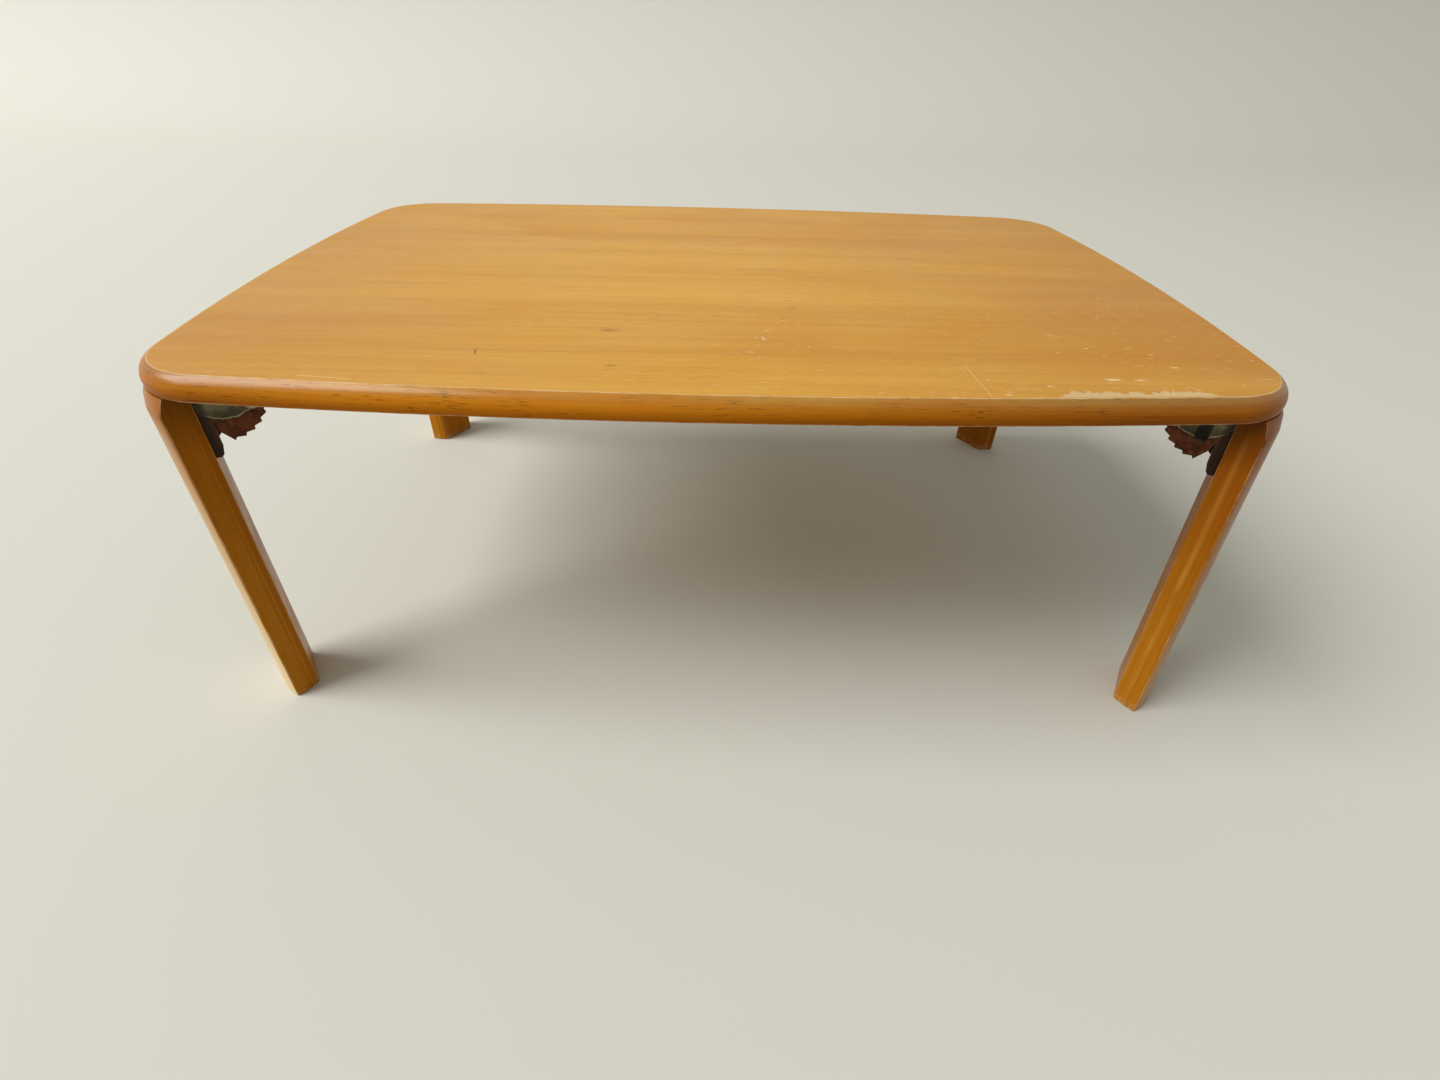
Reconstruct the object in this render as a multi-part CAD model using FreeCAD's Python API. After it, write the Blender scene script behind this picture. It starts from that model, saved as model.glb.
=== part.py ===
import FreeCAD, Part
import math
import os

# Low table with four folding legs. Millimetres, +Z up, front edge at -Y.
# The origin is on the floor, below the middle of the top.

V = FreeCAD.Vector
UP = V(0, 0, 1)
os.makedirs("parts", exist_ok=True)

# Driving dimensions of the table
table_length = 900.0
table_width = 600.0
table_height = 330.0
top_thickness = 18.5
long_edge_bow = 22.0
short_edge_bow = 22.0
corner_radius = 70.0

# Rounded edge of the top, between two crisp arrises
top_arris_inset = 8.5
bottom_arris_inset = 1.0

# Sheets and core of the top
top_sheet_thickness = 2.5
bottom_sheet_thickness = 2.5
bottom_sheet_inset = 20.0
core_end_inset = 54.0
core_side_inset = 52.0
lipping_spare = 12.0
block_length = 128.0
block_width = 118.0
slat_width = 32.0
slat_count = 5

# Legs: a board that stands across the corner
leg_end_inset = 47.5
leg_side_inset = 55.0
leg_turn = 32.5
leg_splay = 0.6
loose_hinge_splay = 3.0
leg_flat_width = 46.0
leg_width = 66.0
leg_ridge_depth = 20.0
leg_thickness = 29.0
leg_top_gap = 0.3
leg_edge_round = 2.5
leg_top_chamfer = 1.2
leg_trim_depth = 9.0
leg_trim_flare = 5.0

# Hinge, measured from the leg's flat inner face and the underside of the top
pin_reach = 36.0
pin_drop = 18.0
pin_radius = 3.0
pin_play = 0.05
pin_head_radius = 5.5
pin_head_thickness = 2.0
pin_tail_length = 0.8
side_play = 0.3
plate_thickness = 2.5

# Leg bracket: back plate below two ears
back_plate_top = 36.0
back_plate_drop = 57.5
ear_outer_half_width = 21.0
ear_top = 3.5
lobe_reach = 20.0
lobe_drop = 4.5
lobe_radius = 24.0
lobe_tail_angle = 247.0
pin_boss_radius = 6.5
ear_tail_start = 31.5
ear_tail_width = 7.5
ear_tail_narrowing = 9.0
ear_tail_end_width = 6.0
ear_tail_corner = 2.0

# Table bracket: base plate with two stepped cheeks
cheek_gap = 0.4
cheek_start = 4.0
cheek_end = 46.0
fan_reach = 12.0
fan_drop = 12.0
fan_radius = 35.5
step_depth = 2.2
step_count = 6
step_angle = 13.4
fan_end_angle = 90.0
fan_shoulder_reach = 9.0
fan_shoulder_drop = 38.0
fan_neck_reach = 5.0
fan_neck_drop = 24.0
flange_start = 50.0
flange_end = 96.0
flange_half_width = 30.0
flange_corner = 6.0

# Detent leaf, on one side of each hinge
leaf_width = 9.0
leaf_reach = 18.0
leaf_thickness = 1.2
leaf_drop = 29.5
leaf_foot = 15.0
leaf_gap = 0.4
leaf_lip = 2.5
leaf_lip_drop = 4.0

# Wood screws, drawn with a few flat sides
screw_sides = 6
screw_shank_radius = 1.9
screw_head_radius = 4.0
screw_head_height = 2.2
screw_length = 13.0
screw_play = 0.2
pilot_play = 0.05
flange_screw_inset = 9.0
flange_screw_spacing = 28.0
leg_screw_spacing = 17.0
leg_screw_inset = 5.5
leg_screw_pitch = 11.0

overrun = 5.0

# Places worked out from the sizes above
half_length = table_length / 2
half_width = table_width / 2
underside = table_height - top_thickness
core_floor = underside + bottom_sheet_thickness
core_roof = table_height - top_sheet_thickness
core_half_length = half_length - core_end_inset
core_half_width = half_width - core_side_inset
lipping_depth = max(core_end_inset, core_side_inset) + lipping_spare
ear_inner_half_width = ear_outer_half_width - plate_thickness
cheek_outer_half_width = ear_inner_half_width - cheek_gap
cheek_inner_half_width = cheek_outer_half_width - plate_thickness

corner_angles = {
    "front_left": leg_turn,
    "front_right": 180 - leg_turn,
    "back_right": 180 + leg_turn,
    "back_left": 360 - leg_turn,
}
corner_sides = {
    "front_left": (-1, -1),
    "front_right": (1, -1),
    "back_right": (1, 1),
    "back_left": (-1, 1),
}


def polar(radius, degrees):
    """Point at a distance and an angle from the origin of a plane."""
    angle = math.radians(degrees)
    return radius * math.cos(angle), radius * math.sin(angle)


def circle_radius(half_chord, bow):
    """Radius of the circle whose chord and rise are given."""
    return (half_chord ** 2 + bow ** 2) / (2 * bow)


# Outline of the top: two long and two short bowed edges, with round corners
long_radius = circle_radius(half_length, long_edge_bow)
short_radius = circle_radius(half_width, short_edge_bow)


def corner_centre():
    """Centre of the round corner that is tangent to a long and a short edge."""
    long_centre = V(0, half_width - long_radius, 0)
    short_centre = V(half_length - short_radius, 0, 0)
    reach_long = long_radius - corner_radius
    reach_short = short_radius - corner_radius
    base = short_centre - long_centre
    span = base.Length
    along = (reach_long ** 2 - reach_short ** 2 + span ** 2) / (2 * span)
    across = math.sqrt(reach_long ** 2 - along ** 2)
    unit = V(base.x / span, base.y / span, 0)
    return long_centre + unit * along + V(unit.y, -unit.x, 0) * across


corner = corner_centre()
long_tangent_angle = math.degrees(math.atan2(corner.y - half_width + long_radius, corner.x))
short_tangent_angle = math.degrees(math.atan2(corner.y, corner.x - half_length + short_radius))


def edge_arcs(inset):
    """The eight arcs of the outline, moved inwards by an inset, anticlockwise."""
    corner_size = corner_radius - inset
    arcs = []
    starts = [(1, 1), (-1, 1), (-1, -1), (1, -1)]
    for quadrant, (side_x, side_y) in enumerate(starts):
        centre = V(corner.x * side_x, corner.y * side_y, 0)
        first = short_tangent_angle if quadrant % 2 == 0 else 180 - long_tangent_angle
        last = long_tangent_angle if quadrant % 2 == 0 else 180 - short_tangent_angle
        turn = 180 if quadrant > 1 else 0
        arcs.append((centre, corner_size, first + turn, last + turn))
    long_centre = half_width - long_radius
    short_centre = half_length - short_radius
    size_long = long_radius - inset
    size_short = short_radius - inset
    top = (V(0, long_centre, 0), size_long, long_tangent_angle, 180 - long_tangent_angle)
    left = (V(-short_centre, 0, 0), size_short, 180 - short_tangent_angle, 180 + short_tangent_angle)
    low = (V(0, -long_centre, 0), size_long, 180 + long_tangent_angle, 360 - long_tangent_angle)
    right = (V(short_centre, 0, 0), size_short, 360 - short_tangent_angle, 360 + short_tangent_angle)
    return [arcs[0], top, arcs[1], left, arcs[2], low, arcs[3], right]


def outline_sheet(inset, low, high):
    """Flat sheet with the outline of the top, between two heights."""
    edges = []
    for centre, radius, first, last in edge_arcs(inset):
        points = []
        for share in (0, 0.5, 1):
            x, y = polar(radius, first + (last - first) * share)
            points.append(V(centre.x + x, centre.y + y, low))
        edges.append(Part.Arc(*points).toShape())
    wire = Part.Wire(edges)
    return Part.Face(wire).extrude(UP * (high - low))


def box(x0, x1, y0, y1, z0, z1):
    """Block between two corners."""
    return Part.makeBox(x1 - x0, y1 - y0, z1 - z0, V(x0, y0, z0))


def polygon_face(points):
    """Flat face inside straight edges."""
    return Part.Face(Part.makePolygon(points + [points[0]]))


def edge_widest_height():
    """Height above the underside at which the rounded edge is widest.

    One circle passes through both arrises and touches the outline there.
    """
    share = top_arris_inset / bottom_arris_inset
    bend = 1 - share
    rise = top_thickness ** 2 + top_arris_inset ** 2 - share * bottom_arris_inset ** 2
    return rise / (top_thickness + math.sqrt(top_thickness ** 2 - bend * rise))


edge_height = edge_widest_height()


def edge_section(centre, radius, depth):
    """Section of the edge in the plane y = 0 of an arc, facing +X."""
    x = centre.x + radius
    inner = x - depth
    bottom = V(x - bottom_arris_inset, centre.y, underside)
    widest = V(x, centre.y, underside + edge_height)
    arris = V(x - top_arris_inset, centre.y, table_height)
    edges = [
        Part.Arc(bottom, widest, arris).toShape(),
        Part.LineSegment(arris, V(inner, centre.y, table_height)).toShape(),
        Part.LineSegment(V(inner, centre.y, table_height), V(inner, centre.y, underside)).toShape(),
        Part.LineSegment(V(inner, centre.y, underside), bottom).toShape(),
    ]
    return Part.Face(Part.Wire(edges))


def edge_run(centre, radius, first, last, depth):
    """Edge section carried round one arc of the outline."""
    section = edge_section(centre, radius, depth)
    section.rotate(centre, UP, first)
    return section.revolve(centre, UP, last - first)


def lipping(index, cutters):
    """Solid edge along one side, mitred in the middle of both corners."""
    arcs = edge_arcs(0)
    before, run, after = arcs[index - 1], arcs[index], arcs[(index + 1) % len(arcs)]
    middle_before = (before[2] + before[3]) / 2
    middle_after = (after[2] + after[3]) / 2
    solid = edge_run(run[0], run[1], run[2], run[3], lipping_depth)
    solid = solid.fuse(edge_run(before[0], before[1], middle_before, before[3], corner_radius))
    solid = solid.fuse(edge_run(after[0], after[1], after[2], middle_after, corner_radius))
    core = box(-core_half_length, core_half_length, -core_half_width, core_half_width,
               underside - overrun, table_height + overrun)
    solid = solid.cut([core] + cutters)
    return solid.removeSplitter()


def core_slats():
    """Lengthwise slats between the sheets, with two short ones between the blocks."""
    band = core_half_width - block_width
    pitch = 2 * band / slat_count
    slats = []
    for number in range(slat_count):
        middle = -band + pitch * (number + 0.5)
        slats.append(box(-core_half_length, core_half_length, middle - slat_width / 2,
                         middle + slat_width / 2, core_floor, core_roof))
    reach = core_half_length - block_length
    for side in (-1, 1):
        middle = side * (core_half_width - block_width / 2)
        slats.append(box(-reach, reach, middle - slat_width / 2, middle + slat_width / 2,
                         core_floor, core_roof))
    return slats


def corner_block(side_x, side_y):
    """Hardwood block that holds the screws of one hinge."""
    x = sorted((side_x * (core_half_length - block_length), side_x * core_half_length))
    y = sorted((side_y * (core_half_width - block_width), side_y * core_half_width))
    return box(x[0], x[1], y[0], y[1], core_floor, core_roof)


# Hinge frame: x runs from the leg's inner face towards the middle of the table,
# z is zero at the underside of the top.


def place(shape, name):
    """Move a shape from the hinge frame to its corner of the table."""
    side_x, side_y = corner_sides[name]
    placed = shape.copy()
    placed.rotate(V(0, 0, 0), UP, corner_angles[name])
    placed.translate(V((half_length - leg_end_inset) * side_x,
                       (half_width - leg_side_inset) * side_y, underside))
    return placed


def splay_of(name):
    """Splay of one leg. The worn hinge at the front right lets its leg lean out further."""
    return loose_hinge_splay if name == "front_right" else leg_splay


def lean(shape, splay):
    """Turn a leg-side piece about the hinge pin by the splay of its leg."""
    turned = shape.copy()
    turned.rotate(V(pin_reach, 0, -pin_drop), V(0, 1, 0), splay)
    return turned


def leg_section(z):
    """Section of the leg: flat inside, flared ends and a round outside."""
    flat = leg_flat_width / 2
    half = leg_width / 2
    points = [V(0, -flat, z), V(0, flat, z), V(-leg_ridge_depth, half, z)]
    edges = [Part.LineSegment(points[0], points[1]).toShape(),
             Part.LineSegment(points[1], points[2]).toShape()]
    apex = V(-leg_thickness, 0, z)
    last = V(-leg_ridge_depth, -half, z)
    edges.append(Part.Arc(points[2], apex, last).toShape())
    edges.append(Part.LineSegment(last, points[0]).toShape())
    return Part.Face(Part.Wire(edges))


def leg(splay):
    """Leg board, splayed about the pin and cut level at both ends."""
    long = underside + 2 * overrun
    board = leg_section(-long + overrun).extrude(UP * long)
    board = board.makeFillet(leg_edge_round, upright_edges(board))
    board = lean(board, splay)
    reach = leg_width + pin_reach
    board = board.cut([
        box(-reach, reach, -reach, reach, -leg_top_gap, long),
        box(-reach, reach, -reach, reach, -2 * long, -underside),
    ])
    board = board.makeChamfer(leg_top_chamfer, end_edges(board, -leg_top_gap))
    return board.cut(leg_pilot_holes(splay))


def trim_to_corner(board, name):
    """Slope the outer face of a placed leg at the top, so that it meets the round corner."""
    side_x, side_y = corner_sides[name]
    base = V(corner.x * side_x, corner.y * side_y, underside - leg_trim_depth)
    around = Part.makeCylinder(corner_radius + leg_width, leg_trim_depth, base)
    kept = Part.makeCone(corner_radius + leg_trim_flare, corner_radius, leg_trim_depth, base)
    return board.cut(around.cut(kept))


def upright_edges(solid):
    """Edges of a solid that stand upright."""
    found = []
    for edge in solid.Edges:
        ends = [vertex.Point for vertex in edge.Vertexes]
        if len(ends) == 2 and abs(ends[0].z - ends[1].z) > leg_thickness:
            found.append(edge)
    return found


def end_edges(solid, height):
    """Edges of a solid that lie at one height."""
    found = []
    for edge in solid.Edges:
        bounds = edge.BoundBox
        if abs(bounds.ZMin - height) < pin_play and abs(bounds.ZMax - height) < pin_play:
            found.append(edge)
    return found


def upright_plate(points, half_width_low, half_width_high):
    """Plate with an outline in x and z, between two distances from the middle."""
    face = polygon_face([V(x, half_width_low, z) for x, z in points])
    return face.extrude(V(0, half_width_high - half_width_low, 0))


def both_sides(solid):
    """A plate and its mirror image on the other side of the hinge."""
    return [solid, solid.mirror(V(0, 0, 0), V(0, 1, 0))]


def pin_hole(radius):
    """Round cutter across the hinge, on the pin's axis."""
    long = ear_outer_half_width + overrun
    return Part.makeCylinder(radius, 2 * long, V(pin_reach, -long, -pin_drop), V(0, 1, 0))


def ear():
    """Ear of the leg bracket: a round lobe for the pin, with a tail down the leg."""
    across = V(0, 1, 0)
    lobe = Part.makeCylinder(lobe_radius, plate_thickness,
                             V(lobe_reach, ear_inner_half_width, -lobe_drop), across)
    boss = Part.makeCylinder(pin_boss_radius, plate_thickness,
                             V(pin_reach, ear_inner_half_width, -pin_drop), across)
    side_x, side_z = polar(lobe_radius, lobe_tail_angle)
    tail = upright_plate([
        (0, -ear_top),
        (lobe_reach, -ear_top),
        (lobe_reach + side_x, -lobe_drop + side_z),
        (ear_tail_width, -ear_tail_start),
        (ear_tail_width, ear_tail_narrowing - back_plate_drop),
        (ear_tail_end_width, ear_tail_corner - back_plate_drop),
        (ear_tail_end_width - ear_tail_corner, -back_plate_drop),
        (0, -back_plate_drop),
    ], ear_inner_half_width, ear_outer_half_width)
    over = lobe_reach + lobe_radius + overrun
    aside = [
        box(-over, over, ear_inner_half_width - overrun, ear_outer_half_width + overrun, -ear_top, over),
        box(-over, 0, ear_inner_half_width - overrun, ear_outer_half_width + overrun, -over, over),
    ]
    return lobe.fuse([boss, tail]).cut(aside).removeSplitter()


def leg_bracket(splay):
    """Back plate on the leg's inner face, with an ear on each side that rises above it."""
    back = box(0, plate_thickness, -ear_outer_half_width, ear_outer_half_width,
               -back_plate_drop, -back_plate_top)
    body = back.fuse(both_sides(ear()))
    body = body.cut([pin_hole(pin_radius + pin_play)] + leg_bracket_holes())
    return lean(body.removeSplitter(), splay)


def step_points():
    """Stepped edge of a cheek: short risers and long treads round the fan."""
    points = []
    for number in range(step_count):
        tip = fan_end_angle - step_angle * (number + 0.5)
        x, z = polar(fan_radius, -tip)
        points.append((fan_reach + x, z - fan_drop))
        x, z = polar(fan_radius - step_depth, -tip + step_angle / 4)
        points.append((fan_reach + x, z - fan_drop))
    return points


def cheek():
    """Cheek of the table bracket, a fan with a stepped outer edge."""
    points = [
        (cheek_start, 0),
        (fan_neck_reach, -fan_neck_drop),
        (fan_shoulder_reach, -fan_shoulder_drop),
    ]
    points += step_points()
    points += [(cheek_end, 0)]
    return upright_plate(points, cheek_inner_half_width, cheek_outer_half_width)


def table_bracket():
    """Base plate screwed under the top, with two cheeks bent down from it."""
    throat = box(cheek_start, flange_start + overrun, -cheek_outer_half_width,
                 cheek_outer_half_width, -plate_thickness, 0)
    flange = box(flange_start, flange_end, -flange_half_width, flange_half_width,
                 -plate_thickness, 0)
    corners = []
    for edge in flange.Edges:
        ends = [vertex.Point for vertex in edge.Vertexes]
        if abs(ends[0].z - ends[1].z) > pin_play:
            corners.append(edge)
    flange = flange.makeChamfer(flange_corner, corners)
    body = throat.fuse([flange] + both_sides(cheek()))
    body = body.cut([pin_hole(pin_radius)] + table_bracket_holes())
    return body.removeSplitter()


def hinge_pin():
    """Pin through both brackets, with a head at one end and a riveted tail at the other."""
    grip = ear_outer_half_width + side_play
    along = V(0, 1, 0)
    shank = Part.makeCylinder(pin_radius, 2 * grip + pin_tail_length,
                              V(pin_reach, -grip, -pin_drop), along)
    head = Part.makeCylinder(pin_head_radius, pin_head_thickness,
                             V(pin_reach, -grip - pin_head_thickness, -pin_drop), along)
    return shank.fuse(head)


def detent_leaf():
    """Spring leaf beside one ear: a foot under the top and a strip down the lobe."""
    inner = ear_outer_half_width + leaf_gap
    outer = inner + leaf_thickness
    bend = leaf_drop - leaf_lip_drop
    points = [
        V(0, inner, 0), V(0, inner + leaf_foot, 0), V(0, inner + leaf_foot, -leaf_thickness),
        V(0, outer, -leaf_thickness), V(0, outer, -bend),
        V(0, outer + leaf_lip, -leaf_drop), V(0, inner + leaf_lip, -leaf_drop), V(0, inner, -bend),
    ]
    strip = polygon_face(points).extrude(V(leaf_width, 0, 0))
    strip.translate(V(leaf_reach - leaf_width / 2, 0, 0))
    hole = screw_prism(screw_shank_radius + screw_play, -overrun, overrun)
    hole.translate(V(leaf_reach, leaf_screw_side(), 0))
    return strip.cut(hole)


def leaf_screw_side():
    """Distance of the leaf's screw from the middle of the hinge."""
    return ear_outer_half_width + leaf_gap + (leaf_thickness + leaf_foot) / 2


def screw_prism(radius, low, high):
    """Upright prism that stands for a round part of a screw or for its hole."""
    points = []
    for number in range(screw_sides):
        x, y = polar(radius, 360 / screw_sides * number)
        points.append(V(x, y, low))
    return polygon_face(points).extrude(UP * (high - low))


def wood_screw():
    """Wood screw that points up, with the underside of its head at z = 0."""
    shank = screw_prism(screw_shank_radius, 0, screw_length)
    head = screw_prism(screw_head_radius, -screw_head_height, 0)
    return shank.fuse(head)


def table_screw_places():
    """Places of the screws under the top, with the thickness that each one clamps."""
    far = flange_end - flange_screw_inset
    near = far - flange_screw_spacing
    side = flange_half_width - flange_screw_inset
    places = [(x, y, plate_thickness) for x in (near, far) for y in (-side, side)]
    return places + [(leaf_reach, leaf_screw_side(), leaf_thickness)]


def leg_screw_places():
    """Places of the screws in the back plate, in two rows."""
    low = leg_screw_inset - back_plate_drop
    side = leg_screw_spacing / 2
    return [(y, z) for z in (low, low + leg_screw_pitch) for y in (-side, side)]


def at_table(shape, spot):
    """Move a screw or hole to its place under the top, in the hinge frame."""
    x, y, clamped = spot
    moved = shape.copy()
    moved.translate(V(x, y, -clamped))
    return moved


def at_leg(shape, spot):
    """Turn a screw or hole into the leg and move it to its place on the back plate."""
    y, z = spot
    moved = shape.copy()
    moved.rotate(V(0, 0, 0), V(0, 1, 0), -90)
    moved.translate(V(plate_thickness, y, z))
    return moved


def table_bracket_holes():
    """Clearance holes through the base plate."""
    hole = screw_prism(screw_shank_radius + screw_play, -overrun, overrun)
    return [at_table(hole, spot) for spot in table_screw_places()]


def leg_bracket_holes():
    """Clearance holes through the back plate."""
    hole = screw_prism(screw_shank_radius + screw_play, -overrun, overrun)
    return [at_leg(hole, spot) for spot in leg_screw_places()]


def leg_pilot_holes(splay):
    """Pilot holes in the leg, splayed with it."""
    hole = screw_prism(screw_shank_radius + pilot_play, 0, screw_length + pilot_play)
    return [lean(at_leg(hole, spot), splay) for spot in leg_screw_places()]


def table_pilot_holes(name):
    """Pilot holes in the underside of the top for the screws of one hinge."""
    hole = screw_prism(screw_shank_radius + pilot_play, 0, screw_length + pilot_play)
    return [place(at_table(hole, spot), name) for spot in table_screw_places()]


def table_screws():
    """Screws that hold the table bracket and the leaf, in the hinge frame."""
    return [at_table(wood_screw(), spot) for spot in table_screw_places()]


def leg_screws(splay):
    """Screws that hold the leg bracket, splayed with the leg."""
    return [lean(at_leg(wood_screw(), spot), splay) for spot in leg_screw_places()]


def save(name, shape):
    """Write one sub-part."""
    shape.exportStep("parts/" + name + ".step")
    print(name, round(shape.Volume), len(shape.Solids), shape.isValid())


def build_top():
    """Sheets, edges, slats and corner blocks of the top."""
    top_sheet = outline_sheet(top_arris_inset, core_roof, table_height)
    bottom_sheet = outline_sheet(bottom_sheet_inset, underside, core_floor)
    holes = []
    for name in corner_angles:
        holes += table_pilot_holes(name)
    save("top_sheet", top_sheet)
    save("bottom_sheet", bottom_sheet.cut(holes))
    cutters = [top_sheet, bottom_sheet] + holes
    for name, index in (("back", 1), ("left", 3), ("front", 5), ("right", 7)):
        save("edge_" + name, lipping(index, cutters))
    for number, slat in enumerate(core_slats(), 1):
        save("core_slat_" + str(number), slat)
    for side_y, end in ((-1, "front"), (1, "back")):
        for side_x, side in ((-1, "left"), (1, "right")):
            save("corner_block_" + end + "_" + side, corner_block(side_x, side_y).cut(holes))


def build_legs():
    """The leg and the hinge of each corner."""
    save("hinge_pins", Part.makeCompound([place(hinge_pin(), name) for name in corner_angles]))
    for name in corner_angles:
        splay = splay_of(name)
        save("leg_" + name, trim_to_corner(place(leg(splay), name), name))
        save("leg_bracket_" + name, place(leg_bracket(splay), name))
        save("table_bracket_" + name, place(table_bracket(), name))
        save("detent_leaf_" + name, place(detent_leaf(), name))
        save("table_screws_" + name, Part.makeCompound([place(s, name) for s in table_screws()]))
        save("leg_screws_" + name, Part.makeCompound([place(s, name) for s in leg_screws(splay)]))


build_top()
build_legs()
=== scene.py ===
import bmesh
import bpy
import math
import numpy as np
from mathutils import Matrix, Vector


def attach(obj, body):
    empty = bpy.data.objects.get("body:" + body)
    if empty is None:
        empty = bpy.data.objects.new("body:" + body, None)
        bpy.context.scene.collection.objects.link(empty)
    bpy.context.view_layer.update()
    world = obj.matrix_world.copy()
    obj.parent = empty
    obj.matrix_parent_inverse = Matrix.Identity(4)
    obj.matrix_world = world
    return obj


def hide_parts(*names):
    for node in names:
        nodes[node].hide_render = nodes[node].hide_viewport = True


# Looks of the low table with folding legs. Metres, +Z up, front edge at -Y.

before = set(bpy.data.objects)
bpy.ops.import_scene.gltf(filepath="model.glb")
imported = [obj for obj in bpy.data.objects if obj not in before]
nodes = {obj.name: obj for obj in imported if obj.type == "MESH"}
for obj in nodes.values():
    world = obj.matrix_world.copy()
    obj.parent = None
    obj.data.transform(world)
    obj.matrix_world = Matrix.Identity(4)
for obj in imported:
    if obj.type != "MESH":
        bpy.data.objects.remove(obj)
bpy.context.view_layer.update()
CORNERS = ("front_left", "front_right", "back_right", "back_left")

# Sizes of the table, as the model has them. An inset is measured inwards from the outline
HALF_LENGTH = 0.450
HALF_WIDTH = 0.300
HEIGHT = 0.330
UNDERSIDE = 0.3115
SHEET = 0.0025
UNDER_SHEET_INSET = 0.020
BOW = 0.022
CORNER_RADIUS = 0.070
TOP_ARRIS_INSET = 0.0085
BOTTOM_ARRIS_INSET = 0.0010
ARRIS_ROUND = 0.0008
LONG_RADIUS = (HALF_LENGTH ** 2 + BOW ** 2) / (2 * BOW)
SHORT_RADIUS = (HALF_WIDTH ** 2 + BOW ** 2) / (2 * BOW)

# Fineness of the meshes: points round the edge's section, along half a corner, along a side, and along
# a corner and a side of the face. The face's rings are measured inwards from its arris
EDGE_STEPS = 30
CORNER_STEPS = 16
SIDE_STEPS = 90
FACE_STEPS = (14, 60)
FACE_RINGS = (0.0, 0.0006, 0.0014, 0.0030, 0.006, 0.010, 0.016, 0.026, 0.045)
SHARP_ANGLE = math.radians(38)

# Legs, in the hinge frame: x into the table, y along the leg's inner face, z up from the underside
HINGE_X = HALF_LENGTH - 0.0475
HINGE_Y = HALF_WIDTH - 0.055
LEG_TURN = math.radians(32.5)
SPLAY = 0.6
LOOSE_SPLAY = 3.0
LEG_FLAT = 0.046
LEG_WIDTH = 0.066
LEG_RIDGE = 0.020
LEG_THICKNESS = 0.029
LEG_ROUND = 0.0022
LEG_TOP_GAP = 0.0003
SIDE_RIDGE = 0.0012
RIDGE_ROUND = 0.028
TRIM_DEPTH = 0.009
TRIM_FLARE = 0.005
PIN_REACH = 0.036
PIN_DROP = 0.018

# Both ends of a leg are drawn in: levels from the end with their shares, then even rows past END_ZONE
END_LEVELS = np.array([0.0, 0.0004, 0.0012, 0.004])
END_SHRINK = np.array([0.035, 0.012, 0.0, 0.0])
END_ZONE = 0.012
LEG_ROWS = 36

# Round lobe of the ears, in the hinge frame
LOBE_CENTRE = (0.020, -0.0045)
LOBE_RADIUS = 0.024

# Plates, screws with a cross recess, and pins
PLATE = 0.0025
LEAF_THICKNESS = 0.0012
SCREW_RADIUS = 0.0040
SCREW_HEIGHT = 0.0022
SCREW_SHANK = 0.0018
SCREW_LENGTH = 0.012
RECESS_DEPTH = 0.0013
RECESS_BAR = 0.00050
RECESS_WALL = 0.00012
RECESS_REACH = 0.0021
RECESS_TAPER = 0.0009
PLATE_BEVEL = 0.00045
LEAF_BEVEL = 0.00025
TABLE_SCREWS = [(0.059, -0.021), (0.059, 0.021), (0.087, -0.021), (0.087, 0.021)]
LEAF_SCREW = (0.018, 0.0295)
LEG_SCREWS = [(-0.0085, -0.052), (0.0085, -0.052), (-0.0085, -0.041), (0.0085, -0.041)]
PIN_HALF = 0.0213
PIN_HEAD = 0.0055
PIN_HEAD_THICKNESS = 0.0020
PIN_RADIUS = 0.0030
PIN_TAIL = 0.0008
PIN_FLAT = 0.0006

# The painted shade, highlight and sheen of the left legs differ from those of the right ones. The change runs
# over within this half width
MIDDLE_BAND = 0.1

# Worn strip of the face beside the front arris
STRIP_START = 0.238
STRIP_END = 0.360
STRIP_DEPTH = 0.0100

# Marks of the face, seen in the photograph. Scratches: ends, width, and strength of the mark
PALE_SCRATCHES = [
    ((0.185, -0.231), (0.189, -0.284), 0.0007, 0.45),
    ((-0.298, -0.274), (-0.262, -0.2775), 0.0008, 0.7),
    ((0.4043, -0.2458), (0.4171, -0.2448), 0.0005, 0.7),
    ((0.0331, -0.1812), (0.0343, -0.1880), 0.0010, 1.0),
]
DARK_SCRATCHES = [((-0.1890, -0.2195), (-0.1872, -0.2290), 0.0011, 1.0)]

# Chips and knots: middle, half width across the grain, and strength
LONG_CHIPS = [
    ((0.2905, -0.2518), 0.0024, 1.0), ((0.3105, -0.2518), 0.0017, 0.9), ((0.3500, -0.2265), 0.0014, 0.8),
    ((0.2375, -0.2656), 0.0011, 0.8), ((0.2020, -0.2815), 0.0012, 0.9), ((0.3055, -0.2053), 0.0009, 0.7),
    ((0.0525, -0.1423), 0.0008, 0.8), ((0.0210, -0.1135), 0.0010, 0.6),
]
ROUND_CHIPS = [
    ((0.2961, -0.1907), 0.0016, 1.0), ((0.2691, -0.2016), 0.0014, 0.8), ((0.0273, -0.1832), 0.0012, 1.0),
    ((-0.1655, -0.1324), 0.0012, 0.8), ((0.0694, -0.2004), 0.0012, 0.8), ((0.1960, -0.2555), 0.0014, 0.9),
]
KNOTS = [
    ((-0.0925, -0.1741), 0.0020, 0.8), ((-0.0920, -0.1741), 0.0054, 0.4), ((-0.0827, -0.2454), 0.0024, 0.6),
    ((0.0650, -0.1071), 0.0018, 0.6), ((0.0215, -0.0870), 0.0016, 0.5),
]


def rgb(red, green, blue):
    """Colour from the linear shares of red, green and blue."""
    return (red, green, blue, 1.0)
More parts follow.
